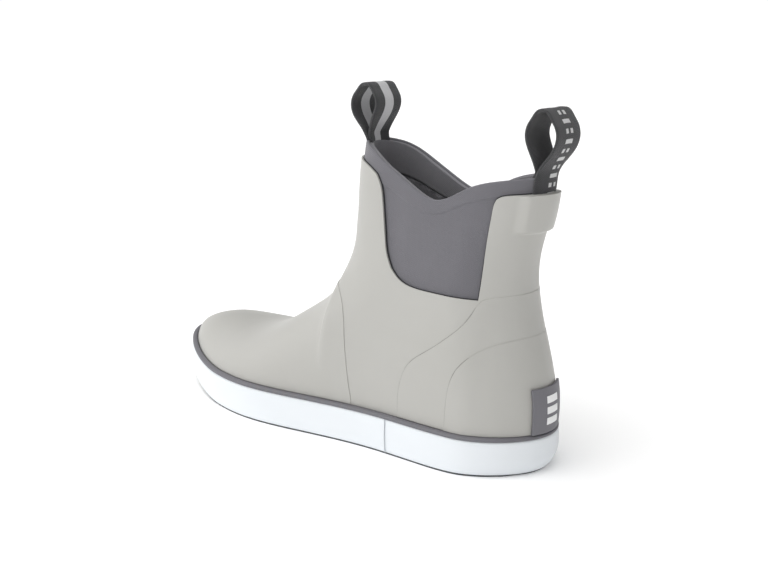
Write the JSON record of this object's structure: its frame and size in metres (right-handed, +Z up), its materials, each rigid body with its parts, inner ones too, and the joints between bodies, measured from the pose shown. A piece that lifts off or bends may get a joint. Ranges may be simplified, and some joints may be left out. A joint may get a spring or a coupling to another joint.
{
  "type": "deck boot",
  "caption": "Ankle-high pull-on deck boot for the right foot: rubber shell with stretch side panels, white sidewall, siped sole and webbing pull loops.",
  "frame": {"origin": "middle of the sole length on the ground, on the foot centre line", "axes": "+X towards the toe, +Y towards the inner side of the foot, +Z up; the sole rests on z = 0"},
  "size_m": [0.3025, 0.1146, 0.2151],
  "materials": {
    "outsole_rubber": "matte, non-marking siped rubber",
    "midsole_foam": "matte closed-cell foam",
    "sidewall_rubber": "smooth satin white rubber",
    "stripe_rubber": "satin grey rubber",
    "steel_shank": "spring steel strip",
    "fibre_board": "pressed fibre board",
    "footbed_foam": "moulded foam",
    "footbed_fabric": "brushed knit",
    "shell_rubber": "satin pale grey rubber",
    "label_rubber": "satin dark grey rubber",
    "stiffener_board": "thermoplastic fibre sheet",
    "stretch_foam": "jersey-faced neoprene",
    "lining_fabric": "brushed jersey",
    "facing_fabric": "smooth binding knit",
    "striped_webbing": "woven, pale centre stripe",
    "plain_webbing": "woven, small printed marks"
  },
  "bodies": {
    "boot": {"outsole": "outsole_rubber", "midsole": "midsole_foam", "sidewall_band": "sidewall_rubber", "sidewall_stripe": "stripe_rubber", "shank": "steel_shank", "insole_board": "fibre_board", "footbed": "footbed_foam", "footbed_cover": "footbed_fabric", "rubber_shell": "shell_rubber", "vamp_overlay": "shell_rubber", "ankle_overlay": "shell_rubber", "heel_counter_overlay": "shell_rubber", "heel_label": "label_rubber", "rear_loop_patch": "shell_rubber", "toe_puff": "stiffener_board", "heel_stiffener": "stiffener_board", "neoprene_upper": "stretch_foam", "lining": "lining_fabric", "collar_facing": "facing_fabric", "front_loop_outer_tail": "striped_webbing", "front_loop_inner_tail": "striped_webbing", "rear_loop_outer_tail": "plain_webbing", "rear_loop_inner_tail": "plain_webbing"},
    "front_pull": {"front_loop": "striped_webbing"},
    "rear_pull": {"rear_loop": "plain_webbing"}
  },
  "joints": [
    {"name": "front_loop_tilt", "type": "hinge", "parent": "boot", "child": "front_pull", "pos_m": [-0.0162, 0, 0.1851], "axis": [0, 1, 0], "range_deg": [-50, 70], "stiffness_Nm_per_rad": 0.02},
    {"name": "rear_loop_tilt", "type": "hinge", "parent": "boot", "child": "rear_pull", "pos_m": [-0.142, 0, 0.1726], "axis": [0, 1, 0], "range_deg": [-70, 50], "stiffness_Nm_per_rad": 0.02}
  ]
}
